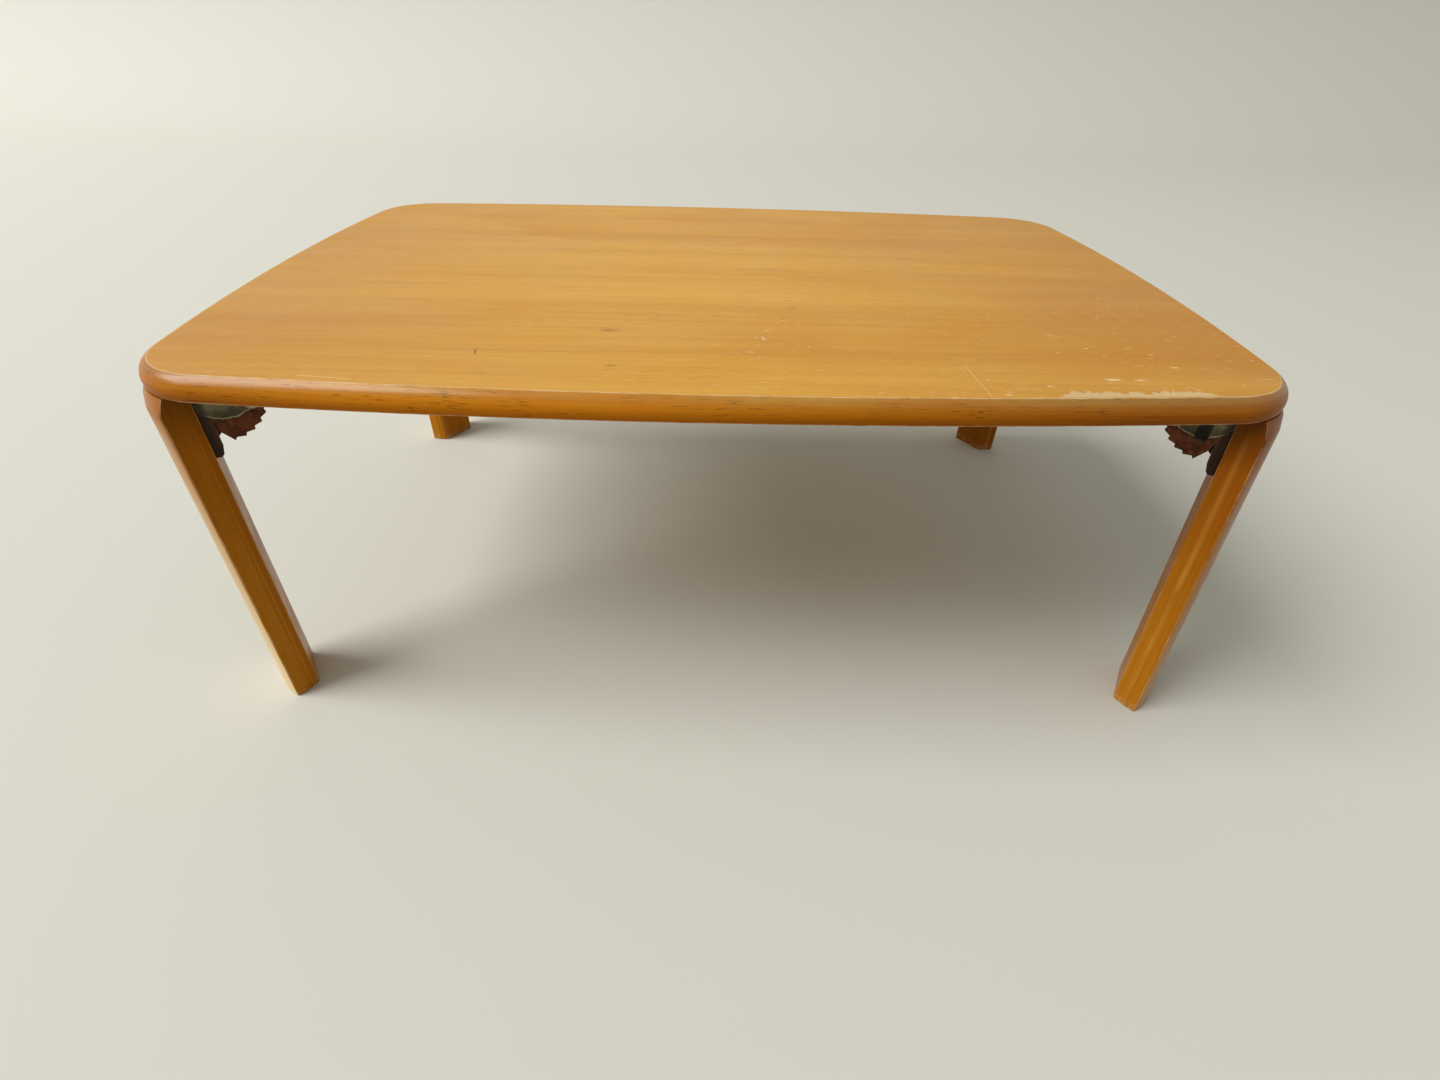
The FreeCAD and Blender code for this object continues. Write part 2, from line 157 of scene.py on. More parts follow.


# Tones of the woods: pale and deep grain, dark pores, then what lies over the grain. Some of these are
# painted light: the edge's painted sheen, and the legs' painted shade, contact shadow, highlight and sheen
FACE_GRAIN = rgb(0.73, 0.390, 0.050), rgb(0.50, 0.200, 0.010), rgb(0.33, 0.120, 0.008)
FACE_ORANGE = rgb(0.54, 0.215, 0.010)
FACE_SIDES = rgb(0.38, 0.13, 0.004)
KNOT = rgb(0.25, 0.060, 0.003)
EDGE_GRAIN = rgb(0.64, 0.230, 0.007), rgb(0.37, 0.108, 0.003), rgb(0.10, 0.028, 0.003)
EDGE_LOW = rgb(0.25, 0.046, 0.002)
EDGE_PAINTED_SHEEN = rgb(0.53, 0.46, 0.12)
EDGE_SHADE = rgb(0.06, 0.0, 0.0)
EDGE_UNDER = rgb(0.22, 0.095, 0.030)
LEG_GRAIN = rgb(0.60, 0.235, 0.009), rgb(0.30, 0.088, 0.003), rgb(0.12, 0.034, 0.003)
# Painted light on the legs: shade on the upper part, a highlight on the ridges, a sheen on the outer side, a
# contact shadow under the top
LEG_PAINTED_SHADE = rgb(0.20, 0.037, 0.002)
LEG_OUTER_SHEEN = rgb(0.80, 0.60, 0.29)
LEG_RIDGE_HIGHLIGHT = rgb(0.68, 0.33, 0.05)
LEG_CONTACT_SHADOW = rgb(0.07, 0.018, 0.002)
BARE_WOOD = rgb(0.74, 0.55, 0.30)
STRIP_WOOD = rgb(0.60, 0.43, 0.22)
UNDER_GRAIN = rgb(0.50, 0.31, 0.13), rgb(0.36, 0.20, 0.075), rgb(0.20, 0.10, 0.04)
CORE_GRAIN = rgb(0.70, 0.56, 0.36), rgb(0.55, 0.40, 0.22), rgb(0.35, 0.24, 0.12)

# Tones of the ear over its zinc: tail in two tones, dirt and painted shade low down, a pale rim that is
# partly wear and partly painted highlight, painted shade beside the leg
EAR_TAIL = rgb(0.045, 0.020, 0.009), rgb(0.105, 0.046, 0.020)
EAR_LOW_DIRT_AND_SHADE = rgb(0.055, 0.042, 0.022)
EAR_RIM_WEAR_AND_HIGHLIGHT = rgb(0.42, 0.36, 0.24)
EAR_SHADE = rgb(0.020, 0.012, 0.006)


# Shader tools
class Graph:
    """Adds nodes to one shader tree and joins them."""

    def __init__(self, tree):
        self.tree = tree

    def add(self, kind, inputs=None, **settings):
        """One node. An input is a value, or the socket that feeds it."""
        node = self.tree.nodes.new(kind)
        for name, value in settings.items():
            setattr(node, name, value)
        for name, value in (inputs or {}).items():
            if isinstance(value, bpy.types.NodeSocket):
                self.tree.links.new(value, node.inputs[name])
            else:
                node.inputs[name].default_value = value
        return node

    def math(self, operation, a, b=0.0, clamp=False):
        """Sum, product or another operation on two values."""
        return self.add("ShaderNodeMath", {0: a, 1: b}, operation=operation, use_clamp=clamp).outputs[0]

    def times(self, value, *others):
        """Product of several values."""
        for other in others:
            value = self.math("MULTIPLY", value, other)
        return value

    def greatest(self, value, *others):
        """Greatest of several values."""
        for other in others:
            value = self.math("MAXIMUM", value, other)
        return value

    def vector(self, operation, a, b):
        """Operation on two vectors that gives a vector."""
        return self.add("ShaderNodeVectorMath", {0: a, 1: b}, operation=operation).outputs[0]

    def measure(self, operation, a, b=(0.0, 0.0, 0.0)):
        """Operation on one or two vectors that gives a value."""
        return self.add("ShaderNodeVectorMath", {0: a, 1: b}, operation=operation).outputs["Value"]

    def scaled(self, vector, x, y, z):
        """Vector stretched along its axes."""
        return self.vector("MULTIPLY", vector, (x, y, z))

    def parts(self, vector):
        """The X, Y and Z of a vector."""
        return self.add("ShaderNodeSeparateXYZ", {0: vector}).outputs

    def place(self):
        """Place on the object, in metres."""
        return self.add("ShaderNodeTexCoord").outputs["Object"]

    def stored(self, name, output="Fac"):
        """Value or vector stored at the points of the mesh."""
        return self.add("ShaderNodeAttribute", attribute_name=name).outputs[output]

    def noise(self, vector, scale, detail=2.0, roughness=0.5, distortion=0.0):
        """Smooth noise between 0 and 1."""
        inputs = {"Vector": vector, "Scale": scale, "Detail": detail,
                  "Roughness": roughness, "Distortion": distortion}
        return self.add("ShaderNodeTexNoise", inputs).outputs["Fac"]

    def span(self, value, low, high, to_low=0.0, to_high=1.0, smooth=False):
        """Value carried from one range to another, and held at its ends."""
        inputs = {"Value": value, "From Min": low, "From Max": high, "To Min": to_low, "To Max": to_high}
        kind = "SMOOTHSTEP" if smooth else "LINEAR"
        return self.add("ShaderNodeMapRange", inputs, interpolation_type=kind).outputs["Result"]

    def mix(self, share, first, second):
        """Two colours mixed: the first at share 0, the second at share 1."""
        return self.add("ShaderNodeMix", {0: share, 6: first, 7: second}, data_type="RGBA").outputs[2]


def new_group(name, inputs, outputs):
    """Shader node group with named inputs and outputs, ready to be filled."""
    tree = bpy.data.node_groups.new(name, "ShaderNodeTree")
    for way, sockets in (("INPUT", inputs), ("OUTPUT", outputs)):
        for label, kind in sockets.items():
            tree.interface.new_socket(label, in_out=way, socket_type=kind)
    entry = tree.nodes.new("NodeGroupInput")
    leave = tree.nodes.new("NodeGroupOutput")
    return Graph(tree), entry.outputs, leave.inputs


VALUE = "NodeSocketFloat"
COLOUR = "NodeSocketColor"
VECTOR = "NodeSocketVector"


def wood_grain_group():
    """Grain that runs along x: tone bands, fine fibres, and short dark pores."""
    graph, put, out = new_group(
        "wood grain",
        {"Place": VECTOR, "Pale": COLOUR, "Deep": COLOUR, "Pore": COLOUR, "Bands": VALUE, "Pores": VALUE},
        {"Colour": COLOUR, "Height": VALUE})

    def streaks(place, along, across, detail, roughness=0.5):
        """Noise drawn out along the grain."""
        return graph.noise(graph.scaled(place, along, across, across), 1.0, detail, roughness)

    drift = graph.times(streaks(put["Place"], 1.1, 5.0, 3.0), 0.035)
    shifted = graph.vector("ADD", put["Place"], graph.add("ShaderNodeCombineXYZ", {"Y": drift}).outputs[0])
    board = graph.times(graph.span(streaks(shifted, 0.5, 13.0, 1.0), 0.32, 0.68), put["Bands"])
    figure = graph.times(graph.span(streaks(shifted, 1.6, 62.0, 3.0, 0.6), 0.36, 0.66), 0.55)
    fibre = streaks(shifted, 7.0, 520.0, 4.0, 0.62)
    fine = streaks(shifted, 22.0, 1500.0, 2.0)
    tone = graph.math("ADD", board, figure)
    tone = graph.math("ADD", tone, graph.times(graph.span(fibre, 0.36, 0.66), 0.62))
    tone = graph.math("MULTIPLY", tone, 0.48, clamp=True)
    dashes = graph.span(streaks(shifted, 85.0, 1150.0, 1.0), 0.62, 0.72)
    crowd = graph.span(streaks(put["Place"], 6.0, 26.0, 2.0), 0.35, 0.75)
    pores = graph.math("MULTIPLY", graph.times(dashes, crowd), put["Pores"], clamp=True)
    colour = graph.mix(graph.times(pores, 0.70), graph.mix(tone, put["Pale"], put["Deep"]), put["Pore"])
    height = graph.math("ADD", graph.times(fibre, 0.5), graph.times(fine, 0.35))
    height = graph.math("SUBTRACT", height, graph.times(pores, 0.8))
    graph.tree.links.new(colour, out["Colour"])
    graph.tree.links.new(height, out["Height"])
    return graph.tree


WOOD_GRAIN = wood_grain_group()


def use_grain(graph, place, tones, bands, pores):
    """Colour and height of the shared grain, in three tones: pale, deep and pores."""
    pale, deep, pore = tones
    inputs = {"Place": place, "Pale": pale, "Deep": deep, "Pore": pore, "Bands": bands, "Pores": pores}
    node = graph.add("ShaderNodeGroup", inputs, node_tree=WOOD_GRAIN)
    return node.outputs["Colour"], node.outputs["Height"]


def new_material(name):
    """Empty node material with its shader. Returns the material, the graph and the shader."""
    material = bpy.data.materials.new(name)
    material.use_nodes = True
    tree = material.node_tree
    tree.nodes.clear()
    graph = Graph(tree)
    shader = graph.add("ShaderNodeBsdfPrincipled")
    graph.add("ShaderNodeOutputMaterial", {"Surface": shader.outputs[0]})
    return material, graph, shader


def join(graph, shader, **sockets):
    """Feed the shader's sockets, named in words."""
    names = {"colour": "Base Color", "roughness": "Roughness", "metallic": "Metallic", "coat": "Coat Weight"}
    for word, source in sockets.items():
        graph.tree.links.new(source, shader.inputs[names[word]])


def bump(graph, shader, height, strength, distance):
    """Small relief on the shader's normal."""
    node = graph.add("ShaderNodeBump", {"Height": height, "Strength": strength, "Distance": distance})
    graph.tree.links.new(node.outputs["Normal"], shader.inputs["Normal"])


def lacquer(shader, tint, gloss, coat_roughness=0.36):
    """Clear finish: amber tint where it is seen squarely, white at a low angle."""
    shader.inputs["Specular IOR Level"].default_value = gloss
    shader.inputs["Specular Tint"].default_value = tint
    shader.inputs["Coat Roughness"].default_value = coat_roughness


def scratch_group():
    """Mask of one straight scratch: points nearer to the segment than its ragged width.

    The nearest point of the segment is a + (b - a) clamp((p - a).(b - a) / |b - a|^2).
    """
    graph, put, out = new_group(
        "scratch", {"Place": VECTOR, "Start": VECTOR, "Finish": VECTOR, "Width": VALUE, "Ragged": VALUE},
        {"Mask": VALUE})
    line = graph.vector("SUBTRACT", put["Finish"], put["Start"])
    from_start = graph.vector("SUBTRACT", put["Place"], put["Start"])
    along = graph.measure("DOT_PRODUCT", from_start, line)
    share = graph.math("DIVIDE", along, graph.measure("DOT_PRODUCT", line, line), clamp=True)
    nearest = graph.add("ShaderNodeVectorMath", {0: line, "Scale": share}, operation="SCALE").outputs[0]
    distance = graph.measure("LENGTH", graph.vector("SUBTRACT", from_start, nearest))
    edge = graph.math("DIVIDE", distance, graph.times(put["Width"], put["Ragged"]))
    graph.tree.links.new(graph.span(edge, 0.6, 1.1, 1.0, 0.0), out["Mask"])
    return graph.tree


SCRATCH = scratch_group()


def scratches(graph, place, ragged, listed):
    """Mask of a list of scratches on the face."""
    masks = []
    for start, finish, width, strength in listed:
        inputs = {"Place": place, "Ragged": ragged, "Width": width,
                  "Start": (*start, HEIGHT), "Finish": (*finish, HEIGHT)}
        node = graph.add("ShaderNodeGroup", inputs, node_tree=SCRATCH)
        masks.append(graph.times(node.outputs["Mask"], strength))
    return graph.greatest(*masks)


def spots(graph, place, ragged, listed, squeeze):
    """Mask of a list of ellipses along the grain: |(squeeze (x - a), y - b)| against a ragged radius."""
    squeezed = graph.scaled(place, squeeze, 1.0, 0.0)
    masks = []
    for (middle_x, middle_y), radius, strength in listed:
        distance = graph.measure("DISTANCE", squeezed, (squeeze * middle_x, middle_y, 0.0))
        edge = graph.math("DIVIDE", distance, ragged)
        masks.append(graph.span(edge, 0.6 * radius, 1.1 * radius, strength, 0.0))
    return graph.greatest(*masks)


def chipped_strip(graph, place, distance):
    """Mask of the bare strip along the front arris, on the right. It starts and ends abruptly.

    It deepens over the first centimetre, its inner border is torn, and it thins out at the right end.
    """
    parts = graph.parts(place)
    across = parts["X"]
    grow = graph.span(across, STRIP_START - 0.002, STRIP_START + 0.012, 0.2 * STRIP_DEPTH, STRIP_DEPTH)
    fade = graph.span(across, STRIP_END - 0.012, STRIP_END - 0.0015, 1.0, 0.2)
    torn = graph.noise(graph.scaled(place, 1.0, 0.25, 1.0), 90.0, 6.0, 0.75)
    depth = graph.times(grow, fade, graph.span(torn, 0.38, 0.60, 0.50, 1.15))
    inside = graph.times(graph.math("LESS_THAN", distance, depth), graph.span(distance, 0.0010, 0.0017))
    streak = graph.noise(graph.scaled(place, 40.0, 900.0, 1.0), 1.0, 2.0)
    ends = graph.times(graph.math("GREATER_THAN", across, STRIP_START),
                       graph.math("LESS_THAN", across, STRIP_END))
    front = graph.math("LESS_THAN", parts["Y"], 0.0)
    return graph.times(inside, graph.span(streak, 0.30, 0.42, 0.35, 1.0), front, ends)


def face_veneer():
    """Honey lacquered veneer of the top face: broad fields, knots, scratches and a worn rim."""
    material, graph, shader = new_material("honey face veneer")
    place = graph.place()
    distance = graph.stored("arris distance")
    colour, height = use_grain(graph, place, FACE_GRAIN, 0.6, 1.2)
    field = graph.noise(graph.scaled(place, 1.6, 4.2, 1.0), 1.6, 3.0, 0.5, 0.4)
    colour = graph.mix(graph.span(field, 0.50, 0.66, 0.0, 0.45, smooth=True), colour, FACE_ORANGE)
    across = graph.parts(place)["X"]
    sides = graph.math("ADD", graph.span(across, 0.05, 0.45, 0.0, 0.46),
                       graph.span(across, -0.45, -0.12, 0.38, 0.0))
    colour = graph.mix(sides, colour, FACE_SIDES)
    fleck = graph.noise(graph.scaled(place, 120.0, 430.0, 1.0), 1.0, 1.0)
    crowd = graph.span(graph.noise(graph.scaled(place, 7.0, 9.0, 1.0), 1.0, 2.0), 0.44, 0.58, 0.0, 0.50)
    flecks = graph.times(graph.span(fleck, 0.69, 0.73), crowd)
    ragged = graph.span(graph.noise(place, 700.0, 2.0), 0.3, 0.7, 0.35, 1.25)
    pale = graph.greatest(
        scratches(graph, place, ragged, PALE_SCRATCHES), spots(graph, place, ragged, LONG_CHIPS, 0.3),
        spots(graph, place, ragged, ROUND_CHIPS, 1.0), flecks)
    dark = graph.greatest(
        scratches(graph, place, ragged, DARK_SCRATCHES), spots(graph, place, ragged, KNOTS, 0.4))
    strip = chipped_strip(graph, place, distance)
    rim_noise = graph.span(graph.noise(place, 60.0, 4.0, 0.7), 0.30, 0.62, 0.25, 1.0)
    rim = graph.times(graph.span(distance, 0.0001, 0.0010, 1.0, 0.0), rim_noise)
    bare = graph.greatest(pale, strip, graph.times(rim, 0.6))
    colour = graph.mix(graph.times(dark, 0.85), colour, KNOT)
    colour = graph.mix(bare, colour, graph.mix(strip, BARE_WOOD, STRIP_WOOD))
    smear = graph.noise(graph.scaled(place, 1.0, 2.0, 1.0), 7.0, 5.0, 0.6)
    rough = graph.math("ADD", graph.span(smear, 0.3, 0.7, 0.30, 0.44), graph.times(bare, 0.35))
    join(graph, shader, colour=colour, roughness=rough)
    lacquer(shader, rgb(1.0, 0.80, 0.50), 0.45)
    relief = graph.math("SUBTRACT", graph.times(height, 0.5), graph.math("ADD", bare, dark))
    bump(graph, shader, relief, 0.22, 0.0006)
    return material


def edge_wood():
    """Amber lacquered solid edge: a painted sheen over its upper part, deep amber below, bare at both
    arrises.
    """
    material, graph, shader = new_material("amber edge wood")
    place = graph.stored("grain place", "Vector")
    share = graph.stored("profile share")
    spot = graph.place()
    across = graph.parts(spot)["X"]
    colour, height = use_grain(graph, place, EDGE_GRAIN, 1.0, 2.4)
    depth = graph.span(share, 0.05, 0.62, 1.0, 0.0, smooth=True)
    colour = graph.mix(graph.times(depth, 0.62), colour, EDGE_LOW)
    # Painted sheen: the upper part of the edge is made paler in broken patches, less at the far left end.
    patches = graph.span(graph.noise(graph.scaled(spot, 5.0, 5.0, 1.0), 1.0, 3.0), 0.36, 0.62, 0.25, 1.0)
    sheen_breakup = graph.noise(graph.scaled(place, 60.0, 260.0, 60.0), 1.0, 4.0, 0.65)
    painted_sheen = graph.times(
        graph.span(share, 0.52, 0.90, 0.0, 1.0, smooth=True), patches,
        graph.span(sheen_breakup, 0.32, 0.62, 0.55, 1.0), graph.span(across, -0.44, -0.38, 0.15, 0.42))
    colour = graph.mix(painted_sheen, colour, EDGE_PAINTED_SHEEN)
    ragged = graph.span(graph.noise(spot, 75.0, 4.0, 0.7), 0.32, 0.62)
    upper = graph.span(share, 0.955, 0.985)
    lower = graph.times(graph.span(share, 0.03, 0.09, 1.0, 0.0), graph.span(share, -0.05, -0.02))
    bare = graph.times(graph.greatest(upper, lower), ragged)
    tone = graph.times(graph.span(across, -0.43, -0.27, 0.60, 1.0),
                       graph.span(across, -0.08, 0.32, 0.96, 0.54))
    colour = graph.mix(graph.math("SUBTRACT", 1.0, tone), colour, EDGE_SHADE)
    colour = graph.mix(graph.times(bare, 0.8), colour, BARE_WOOD)
    under = graph.span(share, -0.06, -0.03, 1.0, 0.0)
    colour = graph.mix(graph.times(under, 0.5), colour, EDGE_UNDER)
    rough = graph.math("ADD", graph.span(graph.noise(spot, 22.0, 4.0), 0.3, 0.7, 0.26, 0.38),
                       graph.times(bare, 0.3))
    coat = graph.times(graph.span(share, 0.35, 0.85), graph.span(across, -0.44, -0.40, 0.25, 0.55),
                       graph.span(across, 0.38, 0.44, 1.0, 0.55))
    join(graph, shader, colour=colour, roughness=rough, coat=coat)
    lacquer(shader, rgb(1.0, 0.70, 0.30), 0.06, 0.25)
    bump(graph, shader, height, 0.10, 0.0005)
    return material


def leg_wood():
    """Amber lacquered leg with upright grain, bare along its edges and scuffed at the foot.

    Its upper part, and the whole back right leg, are darkened by painted shade, with a painted contact shadow
    just under the top; its ridges carry a painted highlight, and its outer side a pale painted sheen.
    """
    material, graph, shader = new_material("amber leg wood")
    spot = graph.place()
    across, back, rise = graph.parts(spot)
    outer = graph.stored("outer side")

    def by_side(left, right):
        """One value on the left legs and one on the right legs."""
        return graph.span(across, -MIDDLE_BAND, MIDDLE_BAND, left, right)

    colour, height = use_grain(graph, graph.stored("grain place", "Vector"), LEG_GRAIN, 1.2, 1.1)
    # Painted shade: darker towards the top of each leg, more on the right legs, and over the whole back right
    # leg.
    shade = graph.times(graph.span(rise, 0.06, UNDERSIDE), by_side(0.42, 0.78))
    far_right_shade = graph.times(graph.span(back, -MIDDLE_BAND, MIDDLE_BAND), by_side(0.0, 0.62))
    colour = graph.mix(graph.greatest(shade, far_right_shade), colour, LEG_PAINTED_SHADE)
    blotch = graph.span(graph.noise(graph.scaled(spot, 1.0, 1.0, 0.3), 60.0, 3.0), 0.32, 0.62, 0.15, 1.0)
    # Painted highlight along the faint side ridges, stronger on the right legs.
    ridge_highlight = graph.times(graph.stored("side ridge"), blotch, by_side(0.20, 0.42),
                       graph.span(rise, 0.16, 0.27, 1.0, 0.45))
    colour = graph.mix(ridge_highlight, colour, LEG_RIDGE_HIGHLIGHT)
    # Painted contact shadow just under the top, weaker on the outer side.
    contact_shadow = graph.times(graph.span(rise, UNDERSIDE - 0.045, UNDERSIDE - 0.005), by_side(0.60, 0.86),
                        graph.span(outer, 0.0, 1.0, 1.0, 0.2))
    colour = graph.mix(contact_shadow, colour, LEG_CONTACT_SHADOW)
    ragged = graph.span(graph.noise(graph.scaled(spot, 1.0, 1.0, 0.25), 130.0, 4.0, 0.7), 0.38, 0.62)
    bare = graph.times(graph.span(graph.stored("edge wear"), 0.55, 1.0), ragged)
    scuff = graph.times(graph.span(rise, 0.0, 0.012, 1.0, 0.0),
                        graph.span(graph.noise(spot, 160.0, 4.0, 0.7), 0.45, 0.62))
    colour = graph.mix(graph.times(graph.greatest(bare, scuff), 0.45), colour, BARE_WOOD)
    # Painted sheen: the outer side is made pale, mostly on the left legs and low down.
    below = graph.times(outer, graph.span(rise, 0.255, 0.300, 1.0, 0.2))
    dull = graph.times(below, by_side(0.85, 0.18), graph.span(rise, 0.04, 0.24, 1.0, 0.25))
    colour = graph.mix(dull, colour, LEG_OUTER_SHEEN)
    rough = graph.span(graph.noise(spot, 26.0, 4.0), 0.3, 0.7, 0.26, 0.40)
    join(graph, shader, colour=colour, roughness=rough, coat=graph.times(below, by_side(0.30, 0.10)))
    lacquer(shader, rgb(1.0, 0.55, 0.12), 0.18)
    bump(graph, shader, height, 0.10, 0.0005)
    return material


def under_veneer():
    """Plain veneer of the underside, thinly finished."""
    material, graph, shader = new_material("plain under veneer")
    place = graph.place()
    colour, height = use_grain(graph, place, UNDER_GRAIN, 1.0, 0.6)
    rough = graph.span(graph.noise(place, 9.0, 4.0), 0.3, 0.7, 0.55, 0.7)
    join(graph, shader, colour=colour, roughness=rough)
    bump(graph, shader, height, 0.15, 0.0006)
    return material


def core_wood():
    """Raw light wood inside the top."""
    material, graph, shader = new_material("raw core wood")
    colour, height = use_grain(graph, graph.place(), CORE_GRAIN, 1.0, 0.4)
    shader.inputs["Roughness"].default_value = 0.8
    join(graph, shader, colour=colour)
    bump(graph, shader, height, 0.2, 0.0006)
    return material


def hinge_place(graph, place):
    """Place in the hinge frame of the nearest corner: how far into the table, and how far up.

    Into the table is (X - |x|) cos t + (Y - |y|) sin t, for the hinge frame's origin X, Y and its turn t.
    """
    parts = graph.parts(place)
    from_end = graph.math("SUBTRACT", HINGE_X, graph.math("ABSOLUTE", parts["X"]))
    from_side = graph.math("SUBTRACT", HINGE_Y, graph.math("ABSOLUTE", parts["Y"]))
    inward = graph.math("ADD", graph.times(from_end, math.cos(LEG_TURN)),
                        graph.times(from_side, math.sin(LEG_TURN)))
    return inward, graph.math("SUBTRACT", parts["Z"], UNDERSIDE)


def ear_zones(graph, place, colour):
    """Ear of the leg bracket: dull zinc inside its round lobe, a pale rim of wear with a painted highlight, a
    dark brown tail below, dirt and painted shade low down, and painted shade beside the leg.
    """
    inward, rise = hinge_place(graph, place)
    from_middle = graph.add("ShaderNodeCombineXYZ", {
        "X": graph.math("SUBTRACT", inward, LOBE_CENTRE[0]),
        "Y": graph.math("SUBTRACT", rise, LOBE_CENTRE[1])}).outputs[0]
    past_lobe = graph.math("SUBTRACT", graph.measure("LENGTH", from_middle), LOBE_RADIUS)
    wander = graph.span(graph.noise(place, 130.0, 3.0), 0.3, 0.7, -0.0012, 0.0012)
    edge = graph.math("ADD", past_lobe, wander)
    tail = graph.mix(graph.span(graph.noise(place, 240.0, 4.0), 0.35, 0.65), *EAR_TAIL)
    colour = graph.mix(graph.span(edge, -0.0016, -0.0004), colour, tail)
    # Dirt and painted shade darken the lower part of the lobe.
    low = graph.times(graph.span(rise, -0.024, -0.014, 0.75, 0.0, smooth=True),
                      graph.span(edge, -0.0016, -0.0004, 1.0, 0.0))
    colour = graph.mix(low, colour, EAR_LOW_DIRT_AND_SHADE)
    # Pale rim round the lobe: wear with a painted highlight.
    rim = graph.times(graph.span(edge, -0.0020, -0.0013), graph.span(edge, -0.0013, -0.0006, 1.0, 0.0), 0.7)
    colour = graph.mix(rim, colour, EAR_RIM_WEAR_AND_HIGHLIGHT)
    return graph.mix(graph.span(inward, 0.0035, 0.0075, 0.85, 0.0), colour, EAR_SHADE)


def metal(name, base, dirt, rust, worn, metallic, rough_low, rough_high, rust_from, zones=None):
    """Worn hinge metal: a base colour with dirt in broad patches, rust in spots, and bright worn edges."""
    material, graph, shader = new_material(name)
    place = graph.place()
    broad = graph.span(graph.noise(place, 60.0, 5.0, 0.65), 0.38, 0.62, smooth=True)
    fine = graph.noise(place, 420.0, 4.0, 0.6)
    speck = graph.span(graph.noise(place, 180.0, 5.0, 0.7), rust_from, rust_from + 0.10, smooth=True)
    colour = graph.mix(broad, base, dirt)
    colour = graph.mix(speck, colour, rust)
    colour = graph.mix(graph.span(fine, 0.3, 0.7, 0.0, 0.25), colour, dirt)
    edge = graph.span(graph.add("ShaderNodeNewGeometry").outputs["Pointiness"], 0.54, 0.60)
    colour = graph.mix(graph.times(edge, 0.5), colour, worn)
    if zones:
        colour = zones(graph, place, colour)
    rough = graph.span(broad, 0.0, 1.0, rough_low, rough_high)
    bare = graph.math("SUBTRACT", metallic, graph.times(speck, metallic), clamp=True)
    join(graph, shader, colour=colour, roughness=rough, metallic=bare)
    shader.inputs["Specular IOR Level"].default_value = 0.15
    bump(graph, shader, graph.math("ADD", fine, speck), 0.25, 0.0003)
    return material


# Shapes
def arcs_of_outline():
    """The eight arcs of the outline, anticlockwise from the back right corner.

    Each one is a centre, a radius and two angles. The corner circles touch both edges: their centres
    lie on circles of radius R - r about the centres of the long and the short edge.
    """
    long_centre = np.array([0.0, HALF_WIDTH - LONG_RADIUS])
    short_centre = np.array([HALF_LENGTH - SHORT_RADIUS, 0.0])
    reach_long, reach_short = LONG_RADIUS - CORNER_RADIUS, SHORT_RADIUS - CORNER_RADIUS
    base = short_centre - long_centre
    span = np.hypot(*base)
    along = (reach_long ** 2 - reach_short ** 2 + span ** 2) / (2 * span)
    across = math.sqrt(reach_long ** 2 - along ** 2)
    unit = base / span
    corner = long_centre + unit * along + np.array([unit[1], -unit[0]]) * across
    first = math.atan2(corner[1], corner[0] - short_centre[0])
    last = math.atan2(corner[1] - long_centre[1], corner[0])
    half = [
        (corner, CORNER_RADIUS, first, last),
        (long_centre, LONG_RADIUS, last, math.pi - last),
        (corner * (-1, 1), CORNER_RADIUS, math.pi - last, math.pi - first),
        (-short_centre, SHORT_RADIUS, math.pi - first, math.pi + first),
    ]
    return half + [(-centre, radius, math.pi + a, math.pi + b) for centre, radius, a, b in half], corner


OUTLINE, CORNER_CENTRE = arcs_of_outline()


def run_of(pieces):
    """Centres, radii and angles of points along parts of arcs. A piece is an arc, two shares and a count."""
    centres, radii, angles = [], [], []
    for (centre, radius, first, last), start, finish, count in pieces:
        turn = first + (last - first) * np.linspace(start, finish, count)
        centres.append(np.tile(centre, (count, 1)))
        radii.append(np.full(count, radius))
        angles.append(turn)
    centres, radii, angles = np.concatenate(centres), np.concatenate(radii), np.concatenate(angles)
    keep = np.concatenate([[True], np.abs(np.diff(angles)) > 1e-9])
    return centres[keep], radii[keep], angles[keep]


def moved_in(run, inset):
    """Points of a run at a distance inside the outline: centre + (R - inset) (cos a, sin a)."""
    centres, radii, angles = run
    unit = np.stack([np.cos(angles), np.sin(angles)], axis=1)
    return centres + (radii - inset)[:, None] * unit


def at_height(run, inset, height):
    """Points of a run moved in, at one height."""
    return np.column_stack([moved_in(run, inset), np.full(len(run[0]), height)])


def length_along(points):
    """Distance of each point along a line of points, from the first."""
    return np.concatenate([[0.0], np.cumsum(np.hypot(*np.diff(points, axis=0).T))])


def ring_faces(rings, count):
    """Faces between rings of points, with a cap at both ends."""
    row = np.repeat(np.arange(rings - 1) * count, count)
    column = np.tile(np.arange(count), rings - 1)
    after = (column + 1) % count
    sides = np.stack([row + column, row + after, row + count + after, row + count + column], axis=1)
    return sides.tolist() + [list(range(count))[::-1], list(range((rings - 1) * count, rings * count))]


def smooth_mesh(name, points, faces):
    """Mesh that is shaded smoothly, with its sharp edges kept."""
    mesh = bpy.data.meshes.new(name)
    mesh.from_pydata(points, [], faces)
    mesh.polygons.foreach_set("use_smooth", np.ones(len(faces), bool))
    mesh.set_sharp_from_angle(angle=SHARP_ANGLE)
    return mesh


def ring_mesh(name, points, flip=False):
    """Closed mesh over rings of points (rings, count, 3). Flipped, its faces look the other way."""
    faces = ring_faces(*points.shape[:2])
    if flip:
        faces = [face[::-1] for face in faces]
    return smooth_mesh(name, points.reshape(-1, 3).tolist(), faces)


